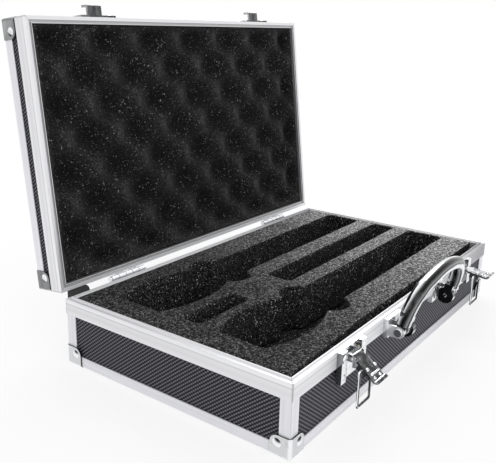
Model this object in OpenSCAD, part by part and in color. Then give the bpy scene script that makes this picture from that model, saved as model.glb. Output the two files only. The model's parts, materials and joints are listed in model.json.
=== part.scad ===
// Hard case for two handheld microphones: an aluminium frame with ribbed dark panels, a foam
// insert cut to the microphones, a hinged lid lined with egg-crate foam, two draw latches
// and a drop handle. X runs along the front, Y to the back, Z up. The origin is the middle
// of the bottom panel's outer face, and the lid stands open.

/* [Case] */
// Width of the case, left to right
case_w = 320; // [290:1:420]
// Depth of the case, front to back
case_d = 185.4; // [176:0.2:260]
// Height of the base, from what it stands on to its closing face
base_h = 48.3; // [46:0.1:90]
// Height of the lid, from its closing face to the top of its edge bars
lid_h = 24.8; // [24.8:0.1:60]
// Angle at which the lid stands open
lid_open = 97; // [60:1:97]
// Gap between the two closing faces when the lid is shut
rim_gap = 0.3; // [0.2:0.1:1]

/* [Frame profiles] */
// Thickness of the aluminium profiles
wall_t = 1.2; // [1:0.1:1.6]
// How far the closing rims stand out from the posts
rim_proud = 0.5; // [0.3:0.1:1]
// Width of a rim's closing face
rim_w = 5; // [4.8:0.1:7]
// Height of a rim's outer face
rim_h = 11.2; // [10:0.1:11.4]
// Depth of solid metal over a rim's panel slot
rim_crown = 2.6; // [2.2:0.1:4]
// Height of the ridge on the base's closing face
ridge_h = 1.2; // [0.6:0.1:1.6]
// Width of that ridge
ridge_w = 1.2; // [0.8:0.1:1.4]
// Play round the ridge in the lid's groove
ridge_play = 0.3; // [0.2:0.05:0.4]
// Width of a corner post's leg
post_w = 8; // [6:0.5:11]
// Height of an edge bar's upright leg
edge_h = 7; // [5:0.5:8]
// Width of an edge bar's flat leg
edge_under = 10.5; // [9:0.5:14]

/* [Panels] */
// Thickness of the side panels
panel_t = 2.2; // [1.8:0.1:2.4]
// Thickness of the bottom and top panels
floor_t = 2; // [1.4:0.1:4]
// Play of a panel in its slot, each side
panel_play = 0.05; // [0.05:0.05:0.1]

/* [Corner caps] */
// Reach of a corner cap along each edge
cap_r = 13.2; // [11:0.1:13.2]
// Thickness of a corner cap
cap_t = 1; // [0.8:0.1:1.4]
// Rounding of a corner cap's outer edges
cap_round = 2.5; // [1.5:0.5:4]
// Rounding of the lobe round each cap rivet
cap_lobe = 5.5; // [4:0.5:7]
// Distance of each cap rivet from the two edges beside it
cap_rivet_in = 8.4; // [7:0.1:8.6]

/* [Rivets] */
// Radius of a rivet's head
rivet_r = 2.2; // [1.6:0.1:2.4]
// Height of a rivet's head
rivet_h = 0.8; // [0.6:0.1:1.2]
// Radius of a rivet's shank
shank_r = 1.2; // [0.9:0.1:1.4]
// Radial play of a shank in its hole
shank_play = 0.05; // [0.05:0.05:0.1]

/* [Hinges] */
// Distance of each hinge's middle from the case's middle
hinge_x = 98; // [70:1:115]
// Length of a hinge
hinge_l = 34; // [26:1:50]
// Distance of the hinge axis behind the case's back face
hinge_off = 3; // [2.8:0.1:4]
// Radius of a hinge knuckle
knuckle_r = 2.4; // [2.1:0.1:2.6]
// Radius of the hinge pin
hinge_pin_r = 1.2; // [0.9:0.1:1.4]
// Radial play between a pin and what turns on it
pin_play = 0.05; // [0.03:0.01:0.1]
// Gap between two knuckles
knuckle_gap = 0.3; // [0.2:0.1:0.6]
// Thickness of a hinge leaf
leaf_t = 1.2; // [0.8:0.1:1.4]
// Height of a hinge leaf below its knuckle
leaf_h = 12; // [10:0.5:14]
// Length of the stop block at the back left
stop_l = 15; // [10:1:20]
// Distance of the stop block from the case's left side
stop_left = 7.5; // [2:0.5:22]

/* [Latches] */
// Distance of each latch's middle from the case's middle
latch_x = 96.5; // [85:0.5:110]
// Width of a latch plate
latch_w = 31; // [29:0.5:36]
// Height of a latch plate
latch_h = 20.5; // [19:0.5:24]
// Distance of a latch plate's top below the base's closing face
latch_drop = 0.4; // [0.2:0.1:2]
// How far a latch plate stands out
latch_out = 3.7; // [3.2:0.1:4.2]
// Thickness of the latch sheet
latch_t = 1; // [0.8:0.1:1.2]
// Width of the slot that the lever lies in
slot_w = 18.4; // [18:0.2:20]
// Distance of the lever pivot in front of the case
lever_out = 5; // [4.8:0.1:5.6]
// Distance of the lever pivot below the base's closing face
lever_drop = 6.5; // [6:0.1:7.5]
// Radius of the lever pin
lever_pin_r = 1; // [0.8:0.1:1.2]
// Radius of the lever's barrel
barrel_r = 2.2; // [2:0.1:2.4]
// Length of a lever from its pivot to its lip
lever_l = 21; // [20:0.5:24]
// Width of a lever
lever_w = 12.6; // [12:0.1:12.8]
// Thickness of the lever sheet
lever_t = 1.6; // [1.2:0.1:1.8]
// Droop of the open left lever below the horizontal
left_droop = 39; // [0:1:45]
// Droop of the open right lever below the horizontal
right_droop = 8; // [0:1:45]
// Distance of the bail's pivot from the lever's pivot
bail_pivot = 9; // [8.5:0.1:10]
// Radius of the bail's wire
bail_r = 0.8; // [0.7:0.05:0.9]
// Clear width inside a bail
bail_in = 13.8; // [13.6:0.1:14.2]
// Length of a bail from its pivot to the far side of its crossbar
bail_l = 24; // [22:0.5:26]

/* [Keepers] */
// Width of a keeper plate
keeper_w = 32; // [29:0.5:40]
// Height of a keeper plate
keeper_h = 15.5; // [14:0.5:18]
// Thickness of a keeper plate
keeper_t = 1.4; // [1:0.1:1.6]
// Height of a keeper plate's lower edge over the lid's closing face
keeper_up = 0.8; // [0.5:0.1:1.2]
// Width of a keeper's hook
hook_w = 13; // [11:0.5:13]
// How far a hook stands out
hook_out = 9.2; // [8:0.1:10]
// Thickness of a hook
hook_t = 1.6; // [1.2:0.1:1.8]
// Height of a hook's lip over its saddle
hook_lip = 4.4; // [3:0.2:6]

/* [Handle] */
// Distance between the middles of the handle's two eyes
handle_span = 88; // [84:1:100]
// Rise of the grip's middle line over the pivots
grip_rise = 34.8; // [32:0.2:42]
// Radius of the grip
grip_r = 4.8; // [4.2:0.1:5.4]
// Radius of the grip's shoulders
shoulder_r = 20; // [16:0.5:22]
// Height of the grip's straight legs over the pivots
leg_rise = 11; // [9:0.5:12]
// Distance of the handle pivots in front of the case
handle_out = 10.6; // [10:0.1:12]
// Distance of the handle pivots below the base's closing face
handle_drop = 7.8; // [7.4:0.1:9]
// Outward lean of the raised handle
handle_lean = 15; // [5:1:20]
// Radius of a cheek disc
cheek_r = 6.2; // [6:0.1:7]
// Thickness of a cheek disc
cheek_t = 4; // [3:0.1:5]
// Width of a handle eye
eye_w = 6.4; // [6:0.1:8]
// Radius of a handle eye
eye_r = 3.6; // [3:0.1:3.8]
// Radius of a handle pin
handle_pin_r = 1.5; // [1.2:0.1:1.8]
// Thickness of a bracket's sheet
bracket_t = 1.5; // [1.2:0.1:1.8]
// How far a bracket's box stands out
bracket_out = 3.5; // [3:0.1:3.5]
// Length of a bracket's tab beside the cheek disc
bracket_tab = 6.6; // [6:0.1:9]
// Distance of a bracket's top below the base's closing face
bracket_drop = 0.6; // [0.2:0.1:1.5]
// Height of a bracket's plate
bracket_h = 13; // [12:0.5:14]
// Radius of a bracket's ear
ear_r = 4; // [3.6:0.1:4.2]
// Side gap between a bracket's ear and what turns beside it
ear_gap = 0.3; // [0.2:0.05:0.5]

/* [Foam] */
// Height of the foam insert's top over the base's closing face
foam_rise = 0.8; // [0.2:0.1:0.9]
// Gap between foam and what is round it
foam_gap = 0.3; // [0.3:0.1:0.6]
// Width of the gap at the foam's front right
foam_front_gap = 6; // [2:0.5:8]
// Length at the left over which that gap opens
foam_taper = 110; // [60:1:200]
// Thickness of the pad under the insert
pad_t = 9; // [6:0.5:16]
// Length of a microphone head's pocket
head_l = 73; // [60:1:80]
// Widest part of a head's pocket
head_w = 51; // [44:1:52]
// Width of a head's pocket at its ends
head_end_w = 35; // [33:1:42]
// Distance of the head pockets from the case's left side
head_left = 25.5; // [22:0.5:34]
// Width of a microphone body's channel
body_w = 32; // [26:1:33]
// Wall left at the channels' right ends, from the case's right side
channel_right = 9.5; // [9:0.5:20]
// Radius of a finger notch
notch_r = 13.5; // [10:0.5:14]
// Distance of the front pocket's middle from the case's front
front_mic_y = 53.5; // [50:0.5:56]
// Distance of the back pocket's middle from the case's back
back_mic_y = 46.5; // [44:0.5:50]
// Width of the middle channel
middle_w = 20; // [12:1:22]
// Distance of the middle channel's left end from the case's left side
middle_left = 128; // [120:1:200]
// Distance of the middle channel's centre line from the case's front
middle_y = 95; // [92:0.5:98]
// Distance of the short slot from the case's left side
short_left = 27; // [22:0.5:34]
// Length of the short slot
short_l = 53; // [30:1:60]
// Width of the short slot
short_w = 15; // [10:1:20]
// Rounding of the slots' corners
slot_round = 3; // [1:0.5:5]

/* [Egg-crate lining] */
// Distance of the lining's first peaks from the case's left side
egg_first_x = 45; // [20:1:60]
// Distance of the lining's first peaks from the case's front
egg_first_y = 15; // [5:1:46]
// Spacing of the lining's peaks along the width
egg_x = 48; // [36:1:60]
// Spacing of the lining's peaks along the depth
egg_y = 46; // [36:1:60]
// Height from the lining's hollows to its peaks
egg_deep = 10; // [6:0.5:11]
// Distance of the lining's peaks behind the lid's closing face
egg_in = 2; // [1.5:0.1:3]
// Cells of the lining along the width
egg_nx = 36; // [24:1:40]
// Cells of the lining along the depth
egg_ny = 22; // [14:1:24]

/* [Hidden] */
$fn = 48;
eps = 0.01;

half_w = case_w / 2;
half_d = case_d / 2;
skin_w = half_w - rim_proud;
skin_d = half_d - rim_proud;
inner_w = skin_w - wall_t - panel_t;
inner_d = skin_d - wall_t - panel_t;
foam_half_w = half_w - rim_w - foam_gap;
foam_half_d = half_d - rim_w - foam_gap;

// Sides of the case, in the order in which a quarter turn takes the front to each
FRONT = 0;
RIGHT = 1;
BACK = 2;
LEFT = 3;
function across(side, w, d) = side % 2 == 0 ? w : d;
function apart(side, w, d) = side % 2 == 0 ? d : w;

slot_u = rim_proud + wall_t - panel_play;
slot_in = slot_u + panel_t + 2 * panel_play;
ridge_u = rim_w - ridge_play - ridge_w - 0.5;
panel_top = rim_crown + panel_play;

base_skin_h = base_h - cap_t;
field_gap = 1;

hinge_y = half_d + hinge_off;
lid_z = base_h + rim_gap;
knuckles = 5;
knuckle_l = (hinge_l - (knuckles - 1) * knuckle_gap) / knuckles;
leaf_play = 0.6;
stop_top = 2.6;
stop_back = 4;
stop_low = 9;

latch_z = base_h - latch_drop - latch_h;
lever_z = base_h - lever_drop;
lever_ear_in = 5;
lever_ear_t = 1.2;
lever_ear_r = 2.4;
bail_set = 0.8;
barrel_l = 2 * (lever_ear_in - 0.2);
flange_t = 1.2;
flange_l = 7.6;
flange_deep = barrel_r + bail_set + bail_r + 0.6;
bail_x = bail_in / 2 + bail_r;
stub_in = 4.6;
lip_r = 3.4;

closed_bail_z = lever_z - bail_pivot;
closed_bar_z = closed_bail_z + bail_l - bail_r;
hook_play = 0.1;
saddle_z = closed_bar_z - bail_r - hook_play;
latch_rivet_x = (latch_w + slot_w) / 4;
latch_rivet_z = 4;
keeper_rivet_x = keeper_w / 2 - 4;
keeper_rivet_z = 3.6;

handle_z = base_h - handle_drop;
eye_x = handle_span / 2;
ear_in_x = eye_x - eye_w / 2 - ear_gap - bracket_t;
ear_out_x = eye_x + eye_w / 2 + ear_gap;
cheek_x = ear_in_x - ear_gap - cheek_t;
bracket_in_x = cheek_x - bracket_tab;
bracket_out_x = ear_out_x + bracket_t;
bracket_z = base_h - bracket_drop - bracket_h;
bracket_rivet_z = 3;
window_z = 2.5;
leg_foot = ear_r + 1.2;
neck_h = 4;
ball_gap = 0.3;
ball_over = 0.05;
shoulder_x = eye_x - shoulder_r;
bow_drop = grip_rise - leg_rise;
bow_r = (shoulder_x * shoulder_x + bow_drop * bow_drop - shoulder_r * shoulder_r)
    / (2 * (bow_drop - shoulder_r));
bow_half = atan(shoulder_x / (bow_r - bow_drop));

foam_top = base_h + foam_rise;
pad_z = cap_t + wall_t + floor_t + foam_gap;
insert_z = pad_z + pad_t + foam_gap;
head_x = -half_w + head_left;
front_mic = -half_d + front_mic_y;
back_mic = half_d - back_mic_y;
middle_mid = -half_d + middle_y;
foam_taper_x = -half_w + foam_taper;

metal = "gainsboro";
dark_panel = "dimgray";
chrome = "silver";
foam = [0.2, 0.2, 0.21];

// ---------------------------------------------------------------- shared shapes

// Turns the front side's piece to another side
module on_side(side) {
    rotate([0, 0, 90 * side]) children();
}

// A bar along X whose section is drawn in the Y-Z plane
module bar_x(l) {
    translate([-l / 2, 0, 0]) rotate([90, 0, 90]) linear_extrude(l) children();
}

// Keeps the part of a front bar that lies between its two mitres
module mitred(l, out, deep, low, high) {
    intersection() {
        children();
        translate([0, 0, low])
            linear_extrude(high - low)
                polygon([
                    [-l / 2, -out], [l / 2, -out],
                    [l / 2 - deep, -out + deep], [-l / 2 + deep, -out + deep]
                ]);
    }
}

// Stands a piece at each of a shell's four outer corners, its inside towards +X, +Y and +Z
module at_corners(h) {
    for (sx = [0, 1], sy = [0, 1])
        mirror([sx, 0, 0]) mirror([0, sy, 0]) translate([-skin_w, -skin_d, -h]) children();
}

// A rivet with its head on the plane z = 0 and its shank below
module rivet(shank_l) {
    dome_r = (rivet_r * rivet_r + rivet_h * rivet_h) / (2 * rivet_h);
    rotate_extrude()
        intersection() {
            translate([0, rivet_h - dome_r]) circle(dome_r);
            square([rivet_r + 1, rivet_h + 1]);
        }
    translate([0, 0, -shank_l]) cylinder(r = shank_r, h = shank_l + rivet_h / 4);
}

module shank_hole(l) {
    translate([0, 0, -l - eps]) cylinder(r = shank_r + shank_play, h = l + 2 * eps);
}

// A rivet or hole that points out of the front, the back, or a cap's three faces
module facing_front() {
    rotate([90, 0, 0]) children();
}
module facing_back() {
    rotate([-90, 0, 0]) children();
}

// ---------------------------------------------------------------- one shell, base or lid
// In a shell's own frame its closing face is z = 0 and its outer face is z = -h.

module rim_section(ridge) {
    difference() {
        union() {
            translate([0, -rim_h]) square([slot_u, rim_h]);
            translate([0, -rim_crown]) square([rim_w, rim_crown]);
            translate([slot_in, -rim_h]) square([rim_w - slot_in, rim_h]);
            if (ridge)
                translate([ridge_u, -eps]) square([ridge_w, ridge_h + eps]);
        }
        if (!ridge)
            translate([ridge_u - ridge_play, -ridge_h - ridge_play])
                square([ridge_w + 2 * ridge_play, ridge_h + ridge_play + eps]);
    }
}

module rim(side, ridge) {
    l = across(side, case_w, case_d);
    out = apart(side, half_w, half_d);
    on_side(side)
        mitred(l, out, rim_w + 1, -rim_h - 1, ridge_h + 1)
            bar_x(l) translate([-out, 0]) rim_section(ridge);
}

module edge_section() {
    square([wall_t, edge_h]);
    square([edge_under, wall_t]);
}

module edge(side, h) {
    l = across(side, 2 * skin_w, 2 * skin_d);
    out = apart(side, skin_w, skin_d);
    on_side(side)
        mitred(l, out, edge_under + 1, -h - 1, -h + edge_h + 1)
            bar_x(l) translate([-out, -h]) edge_section();
}

module posts(h) {
    at_corners(h)
        translate([0, 0, edge_h])
            linear_extrude(h - edge_h - rim_h)
                difference() {
                    square(post_w);
                    translate([wall_t, wall_t]) square(post_w);
                }
}

// Front and back panels run from corner to corner, and the side panels stand between them
module side_panel(side, h) {
    l = across(side, 2 * (inner_w + panel_t), 2 * inner_d);
    out = apart(side, inner_w, inner_d);
    on_side(side)
        translate([-l / 2, -out - panel_t, -h + wall_t])
            cube([l, panel_t, h - wall_t - panel_top]);
}

// The bottom or top panel lies on the edge bars' flat legs, inside the case
module flat_panel(h) {
    translate([-inner_w, -inner_d, -h + wall_t]) cube([2 * inner_w, 2 * inner_d, floor_t]);
}

// What rounding takes off a corner that points to -X and -Y
module corner_off(r) {
    difference() {
        translate([-eps, -eps]) square(r + eps);
        translate([r, r]) circle(r);
    }
}

module cap_outline() {
    difference() {
        translate([-cap_t, -cap_t]) square(cap_r + cap_t);
        translate([-cap_t, -cap_t]) corner_off(cap_round);
        translate([cap_r, cap_r]) rotate(180) corner_off(cap_lobe);
    }
}

// A cap has a rivet in each upright face, and a third where it doesn't stand on the floor
module cap_rivet_places(faces) {
    a = cap_rivet_in;
    translate([a, -cap_t, a]) facing_front() children();
    translate([-cap_t, a, a]) rotate([0, -90, 0]) children();
    if (faces == 3)
        translate([a, a, -cap_t]) rotate([180, 0, 0]) children();
}

module corner_cap(faces) {
    l = cap_r + cap_t;
    difference() {
        intersection() {
            translate([0, 0, -cap_t]) linear_extrude(l) cap_outline();
            translate([0, cap_r, 0]) rotate([90, 0, 0]) linear_extrude(l) cap_outline();
            translate([-cap_t, 0, 0]) rotate([90, 0, 90]) linear_extrude(l) cap_outline();
        }
        cube(cap_r + 1);
        cap_rivet_places(faces) shank_hole(cap_t);
    }
}

module corner_caps(h, faces) {
    at_corners(h) corner_cap(faces);
}

module cap_rivets(h, faces) {
    at_corners(h) cap_rivet_places(faces) rivet(cap_t);
}

// ---------------------------------------------------------------- placing

module base_place() {
    translate([0, 0, base_h]) children();
}

// Turns what is drawn on the shut lid to where the open lid stands
module open_lid() {
    translate([0, hinge_y, base_h]) rotate([-lid_open, 0, 0])
        translate([0, -hinge_y, -base_h]) children();
}

module lid_place() {
    open_lid() translate([0, 0, lid_z]) mirror([0, 0, 1]) children();
}

// ---------------------------------------------------------------- base

// The bottom panel's middle is raised, so that it meets the floor with the corner caps
module base_bottom_panel() {
    field_w = skin_w - edge_under - field_gap;
    field_d = skin_d - edge_under - field_gap;
    color(dark_panel) {
        base_place() flat_panel(base_skin_h);
        translate([-field_w, -field_d, 0]) cube([2 * field_w, 2 * field_d, cap_t + wall_t + eps]);
    }
}
module base_front_panel() {
    color(dark_panel) base_place() side_panel(FRONT, base_skin_h);
}
module base_back_panel() {
    color(dark_panel) base_place() side_panel(BACK, base_skin_h);
}
module base_left_panel() {
    color(dark_panel) base_place() side_panel(LEFT, base_skin_h);
}
module base_right_panel() {
    color(dark_panel) base_place() side_panel(RIGHT, base_skin_h);
}
module base_rim_front() {
    color(metal) base_place() rim(FRONT, true);
}
module base_rim_right() {
    color(metal) base_place() rim(RIGHT, true);
}
module base_rim_back() {
    color(metal) base_place() rim(BACK, true);
}
module base_rim_left() {
    color(metal) base_place() rim(LEFT, true);
}
module base_corner_posts() {
    color(metal) base_place() posts(base_skin_h);
}
module base_edge_front() {
    color(metal) base_place() edge(FRONT, base_skin_h);
}
module base_edge_right() {
    color(metal) base_place() edge(RIGHT, base_skin_h);
}
module base_edge_back() {
    color(metal) base_place() edge(BACK, base_skin_h);
}
module base_edge_left() {
    color(metal) base_place() edge(LEFT, base_skin_h);
}
module base_corner_caps() {
    color(chrome) base_place() corner_caps(base_skin_h, 2);
}
module base_cap_rivets() {
    color(chrome) base_place() cap_rivets(base_skin_h, 2);
}

// ---------------------------------------------------------------- foam in the base

// Plan of a pocket for one microphone, its head's left end at x = 0 and its middle at y = 0
module mic_pocket() {
    swell = (head_w - head_end_w) / 2;
    arc_r = (head_l * head_l / 4 + swell * swell) / (2 * swell);
    channel_l = half_w - channel_right - head_x;
    intersection() {
        translate([head_l / 2, head_w / 2 - arc_r]) circle(arc_r, $fn = 96);
        translate([head_l / 2, arc_r - head_w / 2]) circle(arc_r, $fn = 96);
        translate([0, -head_w / 2]) square([head_l, head_w]);
    }
    for (s = [-1, 1])
        translate([head_l + notch_r - 1, s * (head_w / 2 - notch_r + 1)]) circle(notch_r);
    translate([head_l - 1, -body_w / 2]) square([channel_l - head_l + 1, body_w]);
}

module rounded_slot(l, w) {
    translate([slot_round, 0]) square([l - 2 * slot_round, w]);
    translate([0, slot_round]) square([l, w - 2 * slot_round]);
    for (x = [slot_round, l - slot_round], y = [slot_round, w - slot_round])
        translate([x, y]) circle(slot_round);
}

module insert_outline() {
    front = -foam_half_d + 1;
    polygon([
        [-foam_half_w, front], [foam_taper_x, -foam_half_d + foam_front_gap],
        [foam_half_w, -foam_half_d + foam_front_gap], [foam_half_w, foam_half_d],
        [-foam_half_w, foam_half_d]
    ]);
}

module foam_insert() {
    middle_l = half_w - channel_right + half_w - middle_left;
    color(foam)
        translate([0, 0, insert_z])
            linear_extrude(foam_top - insert_z)
                difference() {
                    insert_outline();
                    translate([head_x, front_mic]) mic_pocket();
                    translate([head_x, back_mic]) mic_pocket();
                    translate([-half_w + middle_left, middle_mid - middle_w / 2])
                        rounded_slot(middle_l, middle_w);
                    translate([-half_w + short_left, middle_mid - short_w / 2])
                        rounded_slot(short_l, short_w);
                }
}

module foam_floor_pad() {
    color([0.12, 0.12, 0.13])
        translate([-foam_half_w, -foam_half_d, pad_z])
            cube([2 * foam_half_w, 2 * foam_half_d, pad_t]);
}

// ---------------------------------------------------------------- hinges

// The knuckles whose number is odd or even, with their pin's hole left out
module knuckle_row(first) {
    for (i = [first : 2 : knuckles - 1])
        translate([-hinge_l / 2 + i * (knuckle_l + knuckle_gap), hinge_y, base_h])
            rotate([0, 90, 0]) cylinder(r = knuckle_r, h = knuckle_l);
}

module pin_hole(l, r) {
    translate([-l / 2, hinge_y, base_h]) rotate([0, 90, 0]) cylinder(r = r, h = l);
}

module leaf_rivet_places() {
    for (x = [-1, 0, 1])
        translate([x * hinge_l / 3, half_d + leaf_t, base_h - knuckle_r - leaf_h / 2])
            facing_back() children();
}

// A leaf that lies on the back of the base. The lid's leaf is the same, upside down.
module leaf(first) {
    difference() {
        union() {
            knuckle_row(first);
            for (i = [first : 2 : knuckles - 1])
                translate([-hinge_l / 2 + i * (knuckle_l + knuckle_gap), half_d, base_h - leaf_h])
                    cube([knuckle_l, leaf_t, leaf_h - leaf_play]);
            translate([-hinge_l / 2, half_d, base_h - leaf_play - knuckle_r - leaf_h])
                cube([hinge_l, leaf_t, leaf_h - leaf_play]);
        }
        pin_hole(hinge_l + 1, hinge_pin_r + pin_play);
        leaf_rivet_places() shank_hole(leaf_t);
    }
}

module at_hinges() {
    for (s = [-1, 1])
        translate([s * hinge_x, 0, 0]) children();
}

module upside_down() {
    translate([0, 0, base_h]) mirror([0, 0, 1]) translate([0, 0, -base_h]) children();
}

module hinge_base_leaves() {
    color(chrome) at_hinges() leaf(0);
}
module hinge_base_rivets() {
    color(chrome) at_hinges() leaf_rivet_places() rivet(leaf_t);
}
module hinge_pins() {
    pin_cap_l = 0.8;
    pin_cap_over = 0.6;
    color(chrome)
        at_hinges() {
            pin_hole(hinge_l + 2 * (ear_gap + pin_cap_l), hinge_pin_r);
            for (s = [0, 1])
                mirror([s, 0, 0])
                    translate([hinge_l / 2 + ear_gap, hinge_y, base_h])
                        rotate([0, 90, 0]) cylinder(r = hinge_pin_r + pin_cap_over, h = pin_cap_l);
        }
}
module hinge_lid_leaves() {
    color(chrome) open_lid() at_hinges() upside_down() leaf(1);
}
module hinge_lid_rivets() {
    color(chrome) open_lid() at_hinges() upside_down() leaf_rivet_places() rivet(leaf_t);
}

// A block on the back of the base that the open lid's back wall comes down on
module lid_stop_block() {
    nose = hinge_off - 1.5;
    color([0.1, 0.1, 0.1])
        translate([-half_w + stop_left, half_d, base_h])
            rotate([90, 0, 90])
                linear_extrude(stop_l)
                    polygon([
                        [0, -stop_low], [hinge_off, -stop_low],
                        [hinge_off + stop_back, -stop_low / 2],
                        [hinge_off + stop_back, stop_top - 0.4], [hinge_off + 0.6, stop_top],
                        [nose, stop_top - 0.6], [0.4, -0.3], [0, -0.6]
                    ]);
}

// ---------------------------------------------------------------- latches
// A latch is drawn with its middle at x = 0, in front of the case's front face

module front_at(x, z) {
    translate([x, -half_d, z]) children();
}

module latch_rivet_places() {
    for (sx = [-1, 1], z = [latch_rivet_z, latch_h - latch_rivet_z])
        translate([sx * latch_rivet_x, -latch_out, latch_z + z]) facing_front() children();
}

module lever_ears() {
    for (s = [0, 1])
        mirror([s, 0, 0])
            translate([lever_ear_in, 0, 0]) {
                translate([0, -lever_out, lever_z])
                    rotate([0, 90, 0]) cylinder(r = lever_ear_r, h = lever_ear_t);
                translate([0, -lever_out, lever_z - lever_ear_r])
                    cube([lever_ear_t, lever_out - latch_t / 2, 2 * lever_ear_r]);
            }
}

module latch_plate() {
    side_w = (latch_w - slot_w) / 2;
    difference() {
        union() {
            for (s = [0, 1])
                mirror([s, 0, 0])
                    translate([slot_w / 2, -latch_out, latch_z]) cube([side_w, latch_out, latch_h]);
            translate([-slot_w / 2 - eps, -latch_t, latch_z])
                cube([slot_w + 2 * eps, latch_t, latch_h]);
            lever_ears();
        }
        for (s = [0, 1])
            mirror([s, 0, 0])
                translate([slot_w / 2 + latch_t, -latch_out + latch_t, latch_z + latch_t])
                    cube([side_w - 2 * latch_t, latch_out, latch_h - 2 * latch_t]);
        translate([-lever_ear_in - 2, -lever_out, lever_z])
            rotate([0, 90, 0]) cylinder(r = lever_pin_r + pin_play, h = 2 * lever_ear_in + 4);
        latch_rivet_places() shank_hole(latch_t);
    }
}

module left_latch_plate() {
    color(chrome) front_at(-latch_x, 0) latch_plate();
}
module right_latch_plate() {
    color(chrome) front_at(latch_x, 0) latch_plate();
}
module latch_plate_rivets() {
    color(chrome)
        for (s = [-1, 1])
            front_at(s * latch_x, 0) latch_rivet_places() rivet(latch_t);
}
module lever_pins() {
    pin_l = 2 * (lever_ear_in + lever_ear_t) + 0.4;
    color(chrome)
        for (s = [-1, 1])
            front_at(s * latch_x - pin_l / 2, lever_z)
                translate([0, -lever_out, 0]) rotate([0, 90, 0]) cylinder(r = lever_pin_r, h = pin_l);
}

// A shut lever hangs down from its pivot, which is at the origin, with its face towards -Y
module shut_lever() {
    face_y = -barrel_r;
    plate_top = lever_ear_r + 0.8;
    lip_z = lip_r - lever_l;
    difference() {
        union() {
            translate([-barrel_l / 2, 0, 0]) rotate([0, 90, 0]) cylinder(r = barrel_r, h = barrel_l);
            translate([-barrel_l / 2, face_y, -plate_top - eps])
                cube([barrel_l, lever_t, plate_top + eps]);
            translate([-lever_w / 2, face_y, lip_z])
                cube([lever_w, lever_t, -plate_top - lip_z]);
            for (s = [0, 1])
                mirror([s, 0, 0])
                    translate([lever_w / 2 - flange_t, face_y, -bail_pivot - flange_l / 2])
                        cube([flange_t, flange_deep, flange_l]);
            translate([-lever_w / 2, face_y + lever_t - lip_r, lip_z])
                rotate([90, 0, 90])
                    linear_extrude(lever_w)
                        intersection() {
                            difference() {
                                circle(lip_r);
                                circle(lip_r - lever_t);
                            }
                            translate([0, -lip_r]) square(lip_r);
                        }
        }
        translate([-lever_w, 0, 0])
            rotate([0, 90, 0]) cylinder(r = lever_pin_r + pin_play, h = 2 * lever_w);
        translate([-lever_w, bail_set, -bail_pivot])
            rotate([0, 90, 0]) cylinder(r = bail_r + pin_play, h = 2 * lever_w);
    }
}

// A bail that hangs down from its pivot, which is at the origin
module hanging_bail() {
    bar_z = bail_r - bail_l;
    for (s = [0, 1])
        mirror([s, 0, 0]) {
            translate([stub_in, 0, 0])
                rotate([0, 90, 0]) cylinder(r = bail_r, h = bail_x - stub_in);
            translate([bail_x, 0, 0]) sphere(bail_r);
            translate([bail_x, 0, bar_z]) cylinder(r = bail_r, h = -bar_z);
            translate([bail_x, 0, bar_z]) sphere(bail_r);
        }
    translate([-bail_x, 0, bar_z]) rotate([0, 90, 0]) cylinder(r = bail_r, h = 2 * bail_x);
}

// Where the open lever's turn takes the bail's pivot, from the lever's pivot
function bail_y(droop) = bail_set * sin(droop) - bail_pivot * cos(droop);
function bail_z(droop) = -bail_set * cos(droop) - bail_pivot * sin(droop);

module open_lever(x, droop) {
    front_at(x, lever_z) translate([0, -lever_out, 0]) rotate([droop - 90, 0, 0]) shut_lever();
}
module open_bail(x, droop) {
    front_at(x, lever_z)
        translate([0, bail_y(droop) - lever_out, bail_z(droop)]) hanging_bail();
}

module left_lever() {
    color(chrome) open_lever(-latch_x, left_droop);
}
module right_lever() {
    color(chrome) open_lever(latch_x, right_droop);
}
module left_bail() {
    color(chrome) open_bail(-latch_x, left_droop);
}
module right_bail() {
    color(chrome) open_bail(latch_x, right_droop);
}

// ---------------------------------------------------------------- keepers on the lid

module keeper_rivet_places() {
    for (sx = [-1, 1], z = [keeper_rivet_z, keeper_h - keeper_rivet_z])
        translate([sx * keeper_rivet_x, -keeper_t, lid_z + keeper_up + z])
            facing_front() children();
}

// A plate with a hook that opens upwards, so that the bail is drawn down into it
module keeper() {
    difference() {
        translate([-keeper_w / 2, -keeper_t, lid_z + keeper_up]) cube([keeper_w, keeper_t, keeper_h]);
        keeper_rivet_places() shank_hole(keeper_t);
    }
    translate([-hook_w / 2, -hook_out + hook_t, saddle_z - hook_t])
        cube([hook_w, hook_out - hook_t - keeper_t + eps, hook_t]);
    translate([-hook_w / 2, -hook_out + hook_t, saddle_z])
        rotate([0, 90, 0]) intersection() {
            cylinder(r = hook_t, h = hook_w);
            translate([0, -hook_t, 0]) cube([hook_t, hook_t, hook_w]);
        }
    translate([-hook_w / 2, -hook_out, saddle_z - eps]) cube([hook_w, hook_t, hook_lip]);
}

module left_keeper() {
    color(chrome) open_lid() front_at(-latch_x, 0) keeper();
}
module right_keeper() {
    color(chrome) open_lid() front_at(latch_x, 0) keeper();
}
module keeper_rivets() {
    color(chrome)
        open_lid()
            for (s = [-1, 1])
                front_at(s * latch_x, 0) keeper_rivet_places() rivet(keeper_t);
}

// ---------------------------------------------------------------- handle

module bracket_rivet_places() {
    for (z = [bracket_rivet_z, bracket_h - bracket_rivet_z])
        translate([bracket_in_x + bracket_tab / 2, -bracket_out, bracket_z + z])
            facing_front() children();
}

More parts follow.
